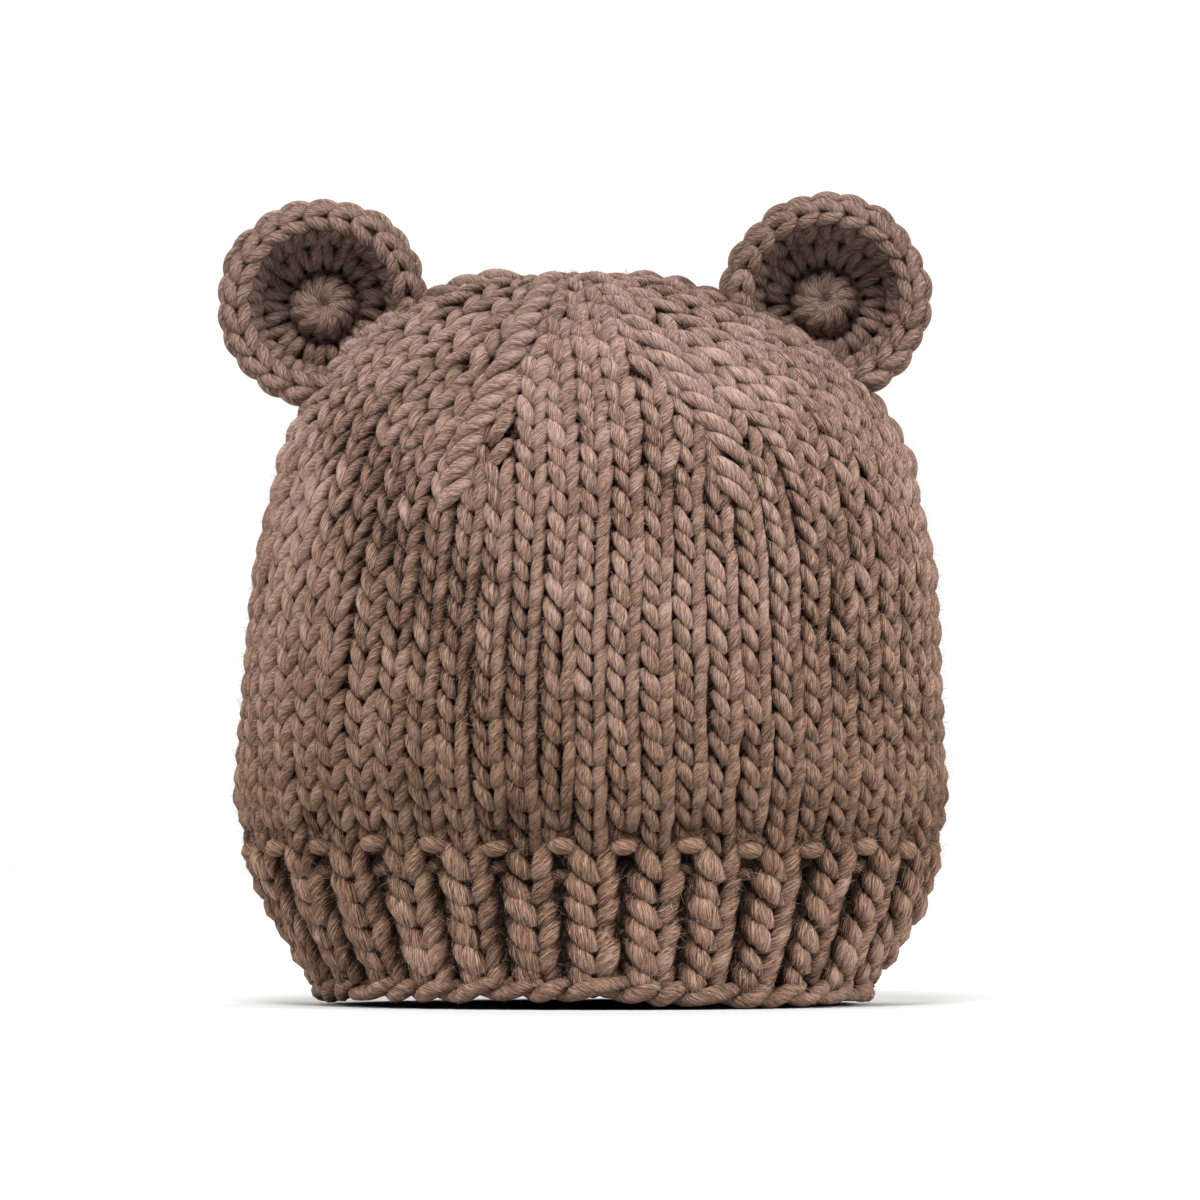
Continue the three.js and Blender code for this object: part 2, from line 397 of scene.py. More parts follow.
def colourRamp(nodes, stops):
    ramp = nodes.new("ShaderNodeValToRGB")
    points = ramp.color_ramp.elements
    for point, (place, colour) in zip((points[0], points[1]), (stops[0], stops[-1])):
        point.position = place
        point.color = (*colour, 1)
    for place, colour in stops[1:-1]:
        points.new(place).color = (*colour, 1)
    return ramp


wool = {
    "colours": [
        (0.02, (0.018, 0.007, 0.003)),
        (0.5, (0.225, 0.127, 0.084)),
        (1.0, (0.54, 0.375, 0.32)),
    ],
    # the patterns: scale, detail, roughness and distortion, then how much one adds and its offset
    "fine": (9.0, 3.0, 0.6, 0.6, 2.7, -0.76),
    "across": (8.0, 2.0, 0.6, 0.8, 0.9, -0.45),
    "broad": (2.6, 2.0, 0.5, 0.0, 0.5, -0.25),
    "cloud": (24.0, 2.0, 0.5, 0.0, 0.55, -0.27),
    "fluff": (900.0, 2.0, 0.6, 0.0, 0.35, -0.17),
    "fibreLength": 0.75,  # how fast the fine pattern changes along the yarn
    "strayTwist": -3.2,
    "ply": 0.45,  # how narrow the groove between two plies is
    "plyHeight": 0.35,
    "fluffHeight": 0.35,
    "bump": 0.9,
    "bumpDistance": 0.0009,
    "shadeHeight": 0.16,  # metres
    # painted light and shade by height: the shaded low parts of the wool are painted darker and browner,
    # and the lit top a little cooler
    "shadeByHeight": [
        (0.1, (0.86, 0.82, 0.75)),
        (0.27, (0.73, 0.67, 0.56)),
        (0.5, (0.94, 0.915, 0.87)),
        (0.73, (1.0, 0.99, 1.0)),
        (0.95, (0.74, 0.735, 0.765)),
    ],
    "shader": {
        "Roughness": 0.95,
        "Specular IOR Level": 0.08,
        "Sheen Weight": 0.05,
        "Sheen Roughness": 0.6,
        "Sheen Tint": (0.9, 0.78, 0.7, 1),
    },
}


def woolMaterial():
    material, nodes, links, shader = newMaterial("wool")

    def maths(operation, *values):
        made = nodes.new("ShaderNodeMath")
        made.operation = operation
        for socket, value in zip(made.inputs, values):
            if isinstance(value, (int, float)):
                socket.default_value = value
            else:
                links.new(value, socket)
        return made.outputs[0]

    def pattern(name, coordinates):
        made = nodes.new("ShaderNodeTexNoise")
        for socket, value in zip(("Scale", "Detail", "Roughness", "Distortion"), wool[name]):
            made.inputs[socket].default_value = value
        links.new(coordinates, made.inputs["Vector"])
        return made.outputs["Fac"]

    # a place on the yarn as a point of a round rod, turned by an angle, so that patterns meet
    def onRod(angle, along):
        made = nodes.new("ShaderNodeCombineXYZ")
        links.new(maths("COSINE", angle), made.inputs[0])
        links.new(maths("SINE", angle), made.inputs[1])
        links.new(along, made.inputs[2])
        return made.outputs[0]

    place = nodes.new("ShaderNodeTexCoord").outputs["Object"]
    uv = nodes.new("ShaderNodeUVMap")
    uv.uv_map = "yarn"
    split = nodes.new("ShaderNodeSeparateXYZ")
    links.new(uv.outputs[0], split.inputs[0])
    about, turns = split.outputs[0], split.outputs[1]

    # fibres follow the twist, and a few lie across the others
    turned = maths("MULTIPLY", maths("SUBTRACT", about, turns), tau)
    slant = maths("MULTIPLY", maths("MULTIPLY_ADD", turns, wool["strayTwist"], about), tau)
    rod = onRod(turned, maths("MULTIPLY", turns, wool["fibreLength"]))
    patterns = {
        "fine": pattern("fine", rod),
        "across": pattern("across", onRod(slant, turns)),
        "broad": pattern("broad", rod),
        "cloud": pattern("cloud", place),
        "fluff": pattern("fluff", place),
    }
    # the attribute holds each yarn's random tone together with its painted shade
    tone = nodes.new("ShaderNodeAttribute")
    tone.attribute_name = "tone"
    shade = tone.outputs["Fac"]
    for name, value in patterns.items():
        shade = maths("ADD", shade, maths("MULTIPLY_ADD", value, *wool[name][4:]))
    colour = colourRamp(nodes, wool["colours"])
    links.new(shade, colour.inputs[0])

    # painted light and shade: the wool's colour is multiplied by a ramp over height
    spot = nodes.new("ShaderNodeSeparateXYZ")
    links.new(place, spot.inputs[0])
    shadeByHeight = colourRamp(nodes, wool["shadeByHeight"])
    links.new(maths("MULTIPLY", spot.outputs[2], 1 / wool["shadeHeight"]), shadeByHeight.inputs[0])
    shadedColour = nodes.new("ShaderNodeMix")
    shadedColour.data_type = "RGBA"
    shadedColour.blend_type = "MULTIPLY"
    shadedColour.inputs[0].default_value = 1.0
    links.new(colour.outputs[0], shadedColour.inputs[6])
    links.new(shadeByHeight.outputs[0], shadedColour.inputs[7])
    links.new(shadedColour.outputs[2], shader.inputs["Base Color"])

    ply = maths("POWER", maths("ABSOLUTE", maths("SINE", turned)), wool["ply"])
    height = maths("ADD", patterns["fine"], maths("MULTIPLY", ply, wool["plyHeight"]))
    height = maths("ADD", height, maths("MULTIPLY", patterns["fluff"], wool["fluffHeight"]))
    bump = nodes.new("ShaderNodeBump")
    bump.inputs["Strength"].default_value = wool["bump"]
    bump.inputs["Distance"].default_value = wool["bumpDistance"]
    links.new(height, bump.inputs["Height"])
    links.new(bump.outputs[0], shader.inputs["Normal"])
    for socket, value in wool["shader"].items():
        shader.inputs[socket].default_value = value
    return material


woolYarn = woolMaterial()
print("wool: made")


# Stitch number and the angle within the stitch, with most samples on the legs that show
def sampleStitches(count):
    s = np.arange(count * knit["steps"]) / knit["steps"]
    j = np.floor(s).astype(int)
    t = (s - j) * tau
    return j, t + 0.22 * np.sin(2 * t)


# Pairs of settings are for the left and the right leg of a stitch
def perSide(t, pair):
    return np.where(t < math.pi, pair[0], pair[1])


# A random value for each leg of a round, smooth along the yarn
def perLeg(shape, what, count, row):
    spread, seed = shape["vary"][what]
    values = np.random.default_rng(seed + row).normal(0, spread, count * 2)
    at = np.arange(count * knit["steps"]) / knit["steps"] * 2
    return np.interp(at, np.arange(count * 2) + 0.5, values, period=count * 2)


# How far across its stitch a loop's yarn is, from -0.5 to 0.5: straight legs, joined by flat arcs
def loopAcross(t, shape, jitter=0.0):
    u = (t % math.pi) / math.pi
    arc = np.where(t < math.pi, u / 2, 0.5 + u / 2)
    lean = perSide(t, shape["lean"]) * (1 + jitter)
    leg = perSide(t, shape["middle"]) + lean * np.cos(t)
    turn = perSide(t, shape["arc"])
    weight = smooth(u / turn, 0, 1) * smooth((1 - u) / turn, 0, 1)
    return arc + (leg - arc) * weight - 0.5


# A leg is a plump leaf, and the yarn is drawn thin where it passes behind
def loopRadius(t, shape):
    reach = np.abs(np.cos(t)) / perSide(t, shape["tip"])
    leaf = np.sqrt(np.clip(1 - reach**2, 0, 1))
    behind = 0.8 * smooth(np.abs(np.cos(t)), 0.8, 1.0)
    thin = perSide(t, shape["thin"])
    return shape["yarn"] * perSide(t, shape["size"]) * (thin + (1 - thin) * np.maximum(leaf, behind))


# How far a loop's yarn is before or behind the loop's middle
def loopBow(t, shape):
    ahead = np.tanh(-1.6 * np.cos(2 * t)) / math.tanh(1.6)
    return shape["depth"] * ahead + perSide(t, shape["shingle"]) * np.cos(t) * np.sin(t) ** 2


# The stitches of the crown
loop = {
    "yarn": 1.62,  # radius at the middle of a leg
    "size": (1.0, 0.97),
    "middle": (0.26, 0.745),  # where the middle of a leg is, in stitch widths
    "lean": (0.34, -0.28),  # how far it leans, in stitch widths
    "arc": (0.36, 0.2),  # share of a leg in which it turns in from the loop's head or foot
    "spin": (0.7, 1.3),  # how tightly it is twisted
    "tip": (0.84, 0.86),  # where the leaf of a leg ends, as a share of the loop's half height
    "thin": (0.4, 0.42),
    "shingle": (0.9, 0.75),  # how far the foot of a leg lies over the round below
    "reach": 0.98,  # half height of a loop, in rounds
    "depth": 1.4,  # how far the legs stand in front of the loop's middle, and its heads behind
    "inset": 2.9,  # the loop's middle under the hat's outside
    "vary": {  # spread from leg to leg, and its seed
        "across": (0.12, 900),
        "reach": (0.05, 1000),
        "rise": (0.05, 1100),
        "share": (0.0006, 1200),
        "depth": (0.22, 1300),
        "radius": (0.09, 1400),
        "tone": (0.07, 1500),
    },
}
# What the cloth of the crown does to its stitches. Pairs of rounds are counted down from the pole.
cloth = {
    "upright": {"lean": 0.22, "tip": 0.2, "thin": 0.25},  # what upright right legs have more of
    "uprightAt": 0.012,  # they stand in the middle of the front, here,
    "uprightFade": (0.08, 0.15),  # and end between these shares of the way round
    "uprightEnd": (16, 9),
    "takenBy": 1.3,  # stitches from a decrease line at which it starts to take a column
    "columnWave": 0.0011,  # how far the columns wander, as a share of the way round
    "columnWaveLength": 34,  # in rounds
    "furrow": (1.1, 0, 3.0),  # depth, place and width of the furrows along the decrease lines
    "ridge": (0.5, 6.5, 2.5),  # and height, place and width of the ridges beside them
    "furrowFrom": (15, 11),
    "furrowEnd": (4, 1.5),
    "sink": 0.9,  # the last rounds lie lower,
    "sinkFrom": (5, 2),
    "knob": 0.3,  # but the last stitches are drawn together in a small knob
    "knobFrom": (1.6, 0.4),
    "ribs": 0.5,  # the first rounds still follow the ribs a little
    "ribsEnd": 3,  # rounds over the band
    "dents": ((0.7, 90), (0.6, -60)),  # depth, and rounds in which they go once round the hat
    "dentsFrom": (1, 6),  # rounds over the band
    "dentsEnd": (13, 8),
    "overhang": (0.8, 3, 1.8),  # the crown hangs a little over the band,
    "tuck": (0.7, 0, 1.1),  # and is tucked in where it meets it
    "plumper": 0.14,  # how much thicker the yarn looks near the pole
    "plumperFrom": (15, 7),
}
dents = [wobble(7, 3, 2, 6), wobble(8, 3, 3, 8)]
columnWave = [wobble(100 + k, 3, 1, 4) for k in range(knit["columns"])]


def hump(x, height, place, width):
    return height * np.exp(-(((x - place) / width) ** 2))


# How far the cloth stands out, apart from its stitches. Line is the way to the next decrease line.
def clothDepth(share, v, line):
    above = v - knit["ribRows"]
    strong = towardsPole(v, *cloth["furrowFrom"]) * (1 - towardsPole(v, *cloth["furrowEnd"]))
    depth = strong * (hump(line, *cloth["ridge"]) - hump(line, *cloth["furrow"]))
    depth -= cloth["sink"] * towardsPole(v, *cloth["sinkFrom"])
    depth += cloth["knob"] * towardsPole(v, *cloth["knobFrom"])
    low = 1 - smooth(above, 0, cloth["ribsEnd"])
    depth += cloth["ribs"] * (np.cos(math.pi * share * knit["columns"]) - 1) * low
    middle = smooth(above, *cloth["dentsFrom"]) * (1 - towardsPole(v, *cloth["dentsEnd"]))
    for dent, (deep, pitch) in zip(dents, cloth["dents"]):
        depth += middle * deep * dent(share + v / pitch)
    depth += hump(above, *cloth["overhang"])
    return depth - hump(above, *cloth["tuck"])


# One round of stockinette
def bodyRound(yarn, row):
    v0 = knit["ribRows"] + row + 0.5
    left = np.maximum(np.round(wedgeSize * fullness(np.array(v0))), 1).astype(int)
    count = int(left.sum())
    j, t = sampleStitches(count)
    wedge = np.repeat(np.arange(len(left)), left)[j]
    n = left[wedge]
    own = j - (np.cumsum(left) - left)[wedge] - (n - 1) / 2

    # in the middle of the front the right legs stand upright and run on from round to round
    where = (wedgeMiddle[wedge] + own * wedgeSize[wedge] / n) / knit["columns"]
    fromUpright = np.abs((where - cloth["uprightAt"] + 0.5) % 1 - 0.5)
    upright = 1 - smooth(fromUpright, *cloth["uprightFade"])
    upright *= 1 - towardsPole(v0, *cloth["uprightEnd"])
    shape = dict(loop)
    for what, more in cloth["upright"].items():
        shape[what] = (loop[what][0], loop[what][1] + more * upright)

    def vary(what):
        return perLeg(loop, what, count, row)

    q = own + loopAcross(t, shape, vary("across"))
    v = v0 - loop["reach"] * (1 + vary("reach")) * np.cos(t) + vary("rise")
    v = np.clip(v, 0, allRows - 0.12)
    # the columns run straight up until a decrease line takes them
    lost = wedgeSize[wedge] - n
    shift = np.where(lost % 2 == 0, 0.0, np.where(lost // 2 % 2 == 0, 0.5, -0.5))
    wide = wedgeSize[wedge] * fullness(v)
    taken = smooth(np.abs(q), n / 2 - cloth["takenBy"], n / 2)
    q = shift * (1 - taken) + q * (1 + (wide / n - 1) * taken)
    column = np.round(wedgeMiddle[wedge] + q).astype(int) % knit["columns"]
    share = (wedgeMiddle[wedge] + q * wedgeSize[wedge] / wide) / knit["columns"]
    line = np.abs((share[:, None] - lineAt[None, :] + 0.5) % 1 - 0.5).min(1) * ringLength(v)
    share = drawnTogether(share, v)
    waves = np.stack([wave(v / cloth["columnWaveLength"]) for wave in columnWave])
    wander = waves[column, np.arange(len(v))] * cloth["columnWave"]
    share += wander * smooth(v, knit["ribRows"], knit["ribRows"] + 3)
    share += vary("share")

    depth = loopBow(t, shape) - loop["inset"] + vary("depth") + clothDepth(share, v, line)
    centre, normal = onCloth(share, v, depth)
    radius = loopRadius(t, shape) * (1 + vary("radius"))
    radius *= np.clip(ringLength(v) / count / fullWidth, 0.4, 1) ** 0.6
    radius *= 1 + cloth["plumper"] * towardsPole(v, *cloth["plumperFrom"])
    yarn.add(centre, normal, radius, vary("tone"), depth, spin=perSide(t, loop["spin"]))


# The stitches of the band, with the settings of the crown's
rib = {
    "yarn": 2.7,
    "size": (0.96, 0.84),
    "middle": (0.245, 0.79),
    "lean": (0.42, -0.2),
    "arc": (0.34, 0.2),
    "spin": (0.65, 0.85),
    "tip": (0.92, 0.98),
    "thin": (0.4, 0.42),
    "shingle": (1.2, 0.75),
    "reach": 1.0,
    "depth": 1.4,
    "inset": 3.4,
    "furrow": 1.4,  # half of what a purl column lies behind a knit one
    "gather": 0.68,  # how much wider a knit column is than a purl one
    "spreadFrom": (-1.2, 0.4),  # rounds over the band's end between which the ribs open
    "spreadFurrow": 0.72,  # what the furrows lose there
    "spreadGather": 0.75,
    "purlThinner": 0.25,
    # painted shade on the purl columns, which lie back in the furrows
    "purlShade": 0.1,
    "feet": 1.4,  # how far the first round's feet run back into the cast-on edge
    "feetFrom": (-0.3, 0.7),
    "vary": {
        "across": (0.12, 2000),
        "reach": (0.05, 2100),
        "rise": (0.05, 2200),
        "share": (0.001, 2300),
        "depth": (0.3, 2400),
        "radius": (0.09, 2500),
        "tone": (0.05, 2600),
    },
}
# The hem isn't quite level: it arches up a little in front, left of the middle, and elsewhere
hem = {
    "rise": 0.8,
    "waves": [(1, 0.7, 0.7), (3, 0.5, 1.2), (5, 0.35, 0.0)],  # times round the hat, height and phase
    "most": 3,
    "reach": 26,  # the height at which the band is level again
}


def hemLift(share, z):
    turn = tau * share
    arch = hem["rise"] + sum(high * np.cos(times * turn + phase) for times, high, phase in hem["waves"])
    return np.clip(arch, 0, hem["most"]) * np.clip(1 - z / hem["reach"], 0, 1) ** 2


# One round of ribbing
def ribRound(yarn, row):
    count = knit["columns"]
    j, t = sampleStitches(count)

    def vary(what):
        return perLeg(rib, what, count, row)

    v = row + 0.5 - rib["reach"] * np.cos(t) * (1 + vary("reach")) + vary("rise")
    s = j + loopAcross(t, rib, vary("across"))
    wave = np.cos(math.pi * s)
    face = np.clip(1.7 * np.cos(math.pi * (j + t / tau - 0.5)), -1, 1)  # 1 on knit, -1 on purl
    spread = smooth(v - knit["ribRows"], *rib["spreadFrom"])
    gather = rib["gather"] * (1 - rib["spreadGather"] * spread)
    share = (s + gather / math.pi * np.sin(math.pi * s)) / count + vary("share")
    furrow = rib["furrow"] * (1 - rib["spreadFurrow"] * spread)
    depth = face * loopBow(t, rib) - rib["inset"] + furrow * (wave - 1) + vary("depth")
    depth -= rib["feet"] * (1 - smooth(v, *rib["feetFrom"]))
    centre, normal = onCloth(share, v, depth)
    centre[:, 2] += hemLift(share, centre[:, 2])
    radius = loopRadius(t, rib) * (1 + vary("radius"))
    radius *= 1 + rib["purlThinner"] * np.minimum(wave, 0)
    # the purl columns are painted darker, as shade in the furrows
    tone = vary("tone") + rib["purlShade"] * (wave - 1)
    yarn.add(centre, normal, radius, tone, depth, spin=perSide(t, rib["spin"]))


# The bumps that show between the knit columns where the ribbing opens
purl = {
    "rows": [(6.02, 1.0, 3.4), (5.15, 0.85, 1.6)],  # round, size and how far a bump stands out
    "shown": 0.5,  # share of the lower bumps that show
    "wide": 0.8,  # in stitches
    "depth": -4.4,
    "radius": 1.95,
}


def purlBars(yarn):
    r = np.random.default_rng(31)
    t = np.linspace(0, 1, 14)
    bow = np.sin(math.pi * t) ** 0.6
    for k in range(knit["columns"] // 2):
        for v, size, ahead in purl["rows"]:
            if v < knit["ribRows"] and r.random() < purl["shown"]:
                continue
            share = (2 * k + 1 + (t - 0.5) * purl["wide"] + r.normal(0, 0.07)) / knit["columns"]
            rise = v + (0.02 + r.normal(0, 0.09)) * (t - 0.5) * 2 + r.normal(0, 0.12)
            depth = purl["depth"] + ahead * bow
            centre, normal = onCloth(share, rise, depth)
            radius = purl["radius"] * size * (0.45 + 0.55 * bow) * (1 + r.normal(0, 0.08))
            yarn.add(centre, normal, radius, np.full(len(t), r.normal(-0.03, 0.04)), depth, closed=False)


# A dark sheet inside the wall, painted with shade, which keeps the light out between the stitches
shadedCore = {
    # painted shade: the sheet is darker than the yarn
    "tone": -0.42,
    "band": -3.8,  # how far outside the hat it lies
    "bandFurrow": 1.2,
    "crown": -3.5,
    "crownTop": -2.9,
}


def shadedCoreSheets(yarn, rows, depth, furrow=0.0):
    share = np.arange(2 * knit["columns"]) / (2 * knit["columns"])
    depth = depth + furrow * (np.cos(math.pi * share * knit["columns"]) - 1)
    rings = []
    for row in rows:
        rings.append(onCloth(share, np.full(len(share), float(row)), depth)[0])
    for low, high in zip(rings, rings[1:]):
        yarn.sheet(low, high, shadedCore["tone"], np.ones(len(share), bool))


yarn = Yarn("rib_band_knitting")
for row in range(knit["ribRows"]):
    ribRound(yarn, row)
purlBars(yarn)
shadedCoreSheets(yarn, range(1, knit["ribRows"] + 1), shadedCore["band"], shadedCore["bandFurrow"])
band = yarn.build(woolYarn, "rib_band")

crown = []
crownParts = [("low", 0, 10, "crown"), ("middle", 10, 19, "crown"), ("top", 19, bodyRows, "crownTop")]
for part, first, last, core in crownParts:
    yarn = Yarn("crown_knitting_" + part)
    for row in range(first, last):
        bodyRound(yarn, row)
    rows = knit["ribRows"] + np.arange(first, last + 1)
    shadedCoreSheets(yarn, np.minimum(rows, allRows - 0.02), shadedCore[core])
    crown.append(yarn.build(woolYarn, "crown"))


# Decreases: two stitches knitted together, each a bold stitch that leans over its neighbour
decrease = {
    "rows": 14,
    "last": 2,  # rounds before the pole at which they end
    "long": 1.85,  # in rounds
    "lean": 1.12,  # in stitches
    "yarn": 1.8,
    "inset": 3.1,
    "rise": 3.0,
    "slope": 0.9,  # how much deeper a strand's end lies than its start
    "sink": 0.7,
    "sinkFrom": (5, 0),
    "tone": 0.05,
    "extraShadeDepth": 0.4,  # how much deeper than they lie they count: they get more painted crease shade and fewer loose fibres
}


def decreaseStrands(yarn):
    r = np.random.default_rng(14)
    t = np.linspace(0, 1, 20)
    bow = np.sin(math.pi * t)
    for row in range(bodyRows - decrease["rows"], bodyRows - decrease["last"]):
        for line in lineAt:
            mirror = 1 if line > 0.5 else -1  # they lean towards the middle of the front and back
            v = knit["ribRows"] + row + 0.5 + (t - 0.5) * decrease["long"] + r.normal(0, 0.06)
            v = np.minimum(v, allRows - 0.3)
            q = (t - 0.5) * decrease["lean"] * mirror + r.normal(0, 0.06)
            share = drawnTogether(line + q * fullWidth / ringLength(v), v)
            depth = decrease["rise"] * bow**0.7 - decrease["inset"] - decrease["slope"] * (t - 0.5)
            depth -= decrease["sink"] * towardsPole(v, *decrease["sinkFrom"])
            centre, normal = onCloth(share, v, depth)
            radius = decrease["yarn"] * (0.35 + 0.65 * bow**0.6) * (1 + r.normal(0, 0.06))
            tone = np.full(len(t), decrease["tone"])
            # the strands get more painted crease shade than their depth gives
            yarn.add(centre, normal, radius, tone, depth - decrease["extraShadeDepth"], closed=False)


yarn = Yarn("crown_decreases")
decreaseStrands(yarn)
crown.append(yarn.build(woolYarn, "crown"))


# The cast-on edge is a rope of two strands
edge = {
    "bits": 38,  # bights of the rope round the hem
    "steps": 14,  # rings of vertices in a bight
    "sides": 10,
    "radius": 1.6,
    "coil": 1.3,
    "centre": 2.9,
    "inset": 2.6,
    "ribs": 0.5,  # how far it follows the ribs
}
hemWave = wobble(41, 5, 3, 17)


def castOnStrand(yarn, strand):
    steps = edge["bits"] * edge["steps"]
    share = np.arange(steps) / steps
    turn = tau * share * edge["bits"] / 2 + strand * math.pi + 0.55 * hemWave(share)
    foot = np.zeros(steps)
    out = unit(surfaceNormal(share, foot) * [1, 1, 0])
    base = surface(share, foot) - out * edge["inset"]
    ribs = np.cos(math.pi * share * knit["columns"])
    centre = base + out * (edge["coil"] * np.cos(turn) + edge["ribs"] * ribs)[:, None]
    centre[:, 2] = edge["centre"] + edge["coil"] * np.sin(turn) + 0.3 * hemWave(share + 0.3)
    centre[:, 2] += hemLift(share, centre[:, 2])
    radius = edge["radius"] * (0.98 + 0.2 * np.cos(turn) + 0.06 * hemWave(3 * share))
    centre[:, 2] = np.maximum(centre[:, 2], radius + 0.05)  # it rests on the floor
    yarn.add(centre, out, radius, np.zeros(steps), sides=edge["sides"])


yarn = Yarn("cast_on_edge_rope")
castOnStrand(yarn, 0)
castOnStrand(yarn, 1)
castOnEdge = yarn.build(woolYarn, "cast_on_edge")


# Ears. The walls give radius and depth behind the rim: the hollow's side of the wall and its outside
ear = {
    "rim": 23.0,
    "inner": [
        (0, 11.4), (3.5, 10.3), (6.3, 11.2), (8.2, 13.0),
        (13.2, 12.2), (17.2, 8.2), (19.2, 3.6), (19.6, 1.4),
    ],
    "outer": [(0, 15.3), (7, 15.2), (13.5, 14.0), (18.3, 10.8), (20.7, 6.4), (21.2, 2.8), (20.6, 0.8)],
    "stitch": {
        "yarn": 1.0,
        "size": (1.0, 1.0),
        "middle": (0.25, 0.75),
        "lean": (0.12, -0.12),
        "arc": (0.24, 0.24),
        "tip": (1.0, 1.0),
        "thin": (0.66, 0.66),
    },
    "full": 1.18,  # how much of its room a stitch fills
    "rings": [  # wall, stitches, from and to along the wall, depth, radius, phase, bulge and tone
        ("inner", 13, 8.0, 15.6, 1.1, 1.95, 0.2, 0.3, 0.1),
        ("inner", 17, 14.0, 20.8, 0.9, 2.0, 0.5, -0.3, 0.09),
        ("outer", 8, 1.2, 8.2, 0.7, 1.9, 0.3, 0.2, 0.0),
        ("outer", 15, 7.0, 15.2, 0.8, 2.0, 0.1, 0.2, 0.0),
        ("outer", 22, 14.0, 24.0, 0.7, 2.0, 0.6, -0.2, 0.0),
    ],
    "coreShares": np.linspace(0.004, 0.9, 12),
    "coreTurn": 48,
    # painted shade on the sheet between the layers
    "coreShade": -0.3,
}
petal = {
    "count": 11,
    "start": 0.1,
    "long": 7.5,
    "arch": 1.9,
    "sink": 0.7,
    "fold": 3.0,  # how far its end dives behind the first ring
    "startRadius": 0.9,
    "swell": 2.2,
    "radius": 2.1,
    "tone": 0.05,
    # how dark the painted crease shade on a petal is
    "crevice": 0.5,
}
chain = {
    "count": 22,  # loops round the rim
    "ring": 18.3,
    "half": 2.5,  # half width of a loop
    "long": 1.3,  # in loops
    "radius": 1.55,
    "sink": 1.9,
    "tone": 0.04,
}
bump = {
    "ring": 19.5,
    "rise": 1.5,
    "long": 1.45,
    "slant": 1.3,
    "radius": 1.75,
    "behind": 3.4,  # how far its start lies behind the rim
    "forward": 1.6,
}
ahead = np.array([0.0, -1.0, 0.0])


# A wall of the cup, turned about the ear's axis
class CupWall:
    def __init__(self, section, middle, side, inward):
        self.section = np.array(section)
        self.lengths = running(np.hypot(*np.diff(self.section, axis=0).T))
        self.middle, self.side, self.inward = middle, side, inward

    def at(self, length):
        return [np.interp(length, self.lengths, self.section[:, k]) for k in range(2)]

    def point(self, length, turn):
        radius, back = self.at(length)
        radius1, back1 = self.at(length - 0.5)
        radius2, back2 = self.at(length + 0.5)
        run, slope = radius2 - radius1, back2 - back1
        size = np.hypot(slope, run) + tiny
        radial = radialOf(turn, self.side)
        point = self.middle + radial * radius[:, None] - ahead * back[:, None]
        normal = ahead * (run / size)[:, None] + radial * (slope / size)[:, None]
        return point, normal * self.inward

    def ring(self, share, turns):
        return self.point(np.full(len(turns), share * self.lengths[-1]), turns)[0]


def radialOf(turn, side):
    a = tau * turn
    return np.stack([side * np.cos(a), 0 * a, np.sin(a)], axis=-1)


# Which points aren't deep in the crown's wall
def clearOfCrown(points):
    z, a, b = [np.interp(points[:, 2], profile[:, 0], profile[:, k]) for k in range(3)]
    q = np.hypot((points[:, 0] - leanAt(z)) / np.maximum(a, 1), points[:, 1] / np.maximum(b, 1))
    return ((q - 1) * np.minimum(a, b) * 0.75 > -3.5) | (points[:, 2] > form["top"])


# One ring of crochet stitches on a wall of the cup
def crochetRing(yarn, wall, r, count, low, high, depth, radius, phase, bulge, tone):
    s = np.arange(count * knit["steps"]) / knit["steps"]
    j = np.floor(s)
    t = (s - j) * tau
    jitter = np.interp(s * 2, np.arange(count * 2) + 0.5, r.normal(0, 1, count * 2), period=count * 2)
    length = (low + high) / 2 - (high - low) / 2 * np.cos(t) * (1 + 0.06 * jitter)
    turn = (j + 0.5 + loopAcross(t, ear["stitch"]) + phase + 0.05 * jitter) / count
    point, normal = wall.point(length, turn)
    centre = point + normal * (bulge - depth * np.cos(2 * t))[:, None]
    room = np.minimum(wall.at(length)[0] * tau / count / 4 / radius * ear["full"], 1.0)
    thick = radius * room * loopRadius(t, ear["stitch"]) * (1 + 0.06 * jitter)
    yarn.add(centre, normal, thick, 0.04 * jitter + tone, keep=clearOfCrown(centre))


# The ring that the ear starts from: fat petals that close in the middle
def rosette(yarn, wall, r):
    t = np.linspace(0, 1, 16)
    lift = petal["arch"] * np.sin(math.pi * t**0.8) - petal["fold"] * t**6 - petal["sink"]
    for k in range(petal["count"]):
        lean = 0.12 * r.normal()
        turn = (k + 0.5 + lean * t) / petal["count"]
        point, normal = wall.point(petal["start"] + petal["long"] * t, turn)
        thick = np.clip(petal["startRadius"] + petal["swell"] * t, 0, petal["radius"])
        thick = thick * (1 + 0.07 * r.normal())
        tone = np.full(len(t), 0.03 * r.normal() + petal["tone"])
        centre = point + normal * lift[:, None]
        keep = clearOfCrown(centre)
        yarn.add(centre, normal, thick, tone, closed=False, keep=keep, crevice=petal["crevice"])


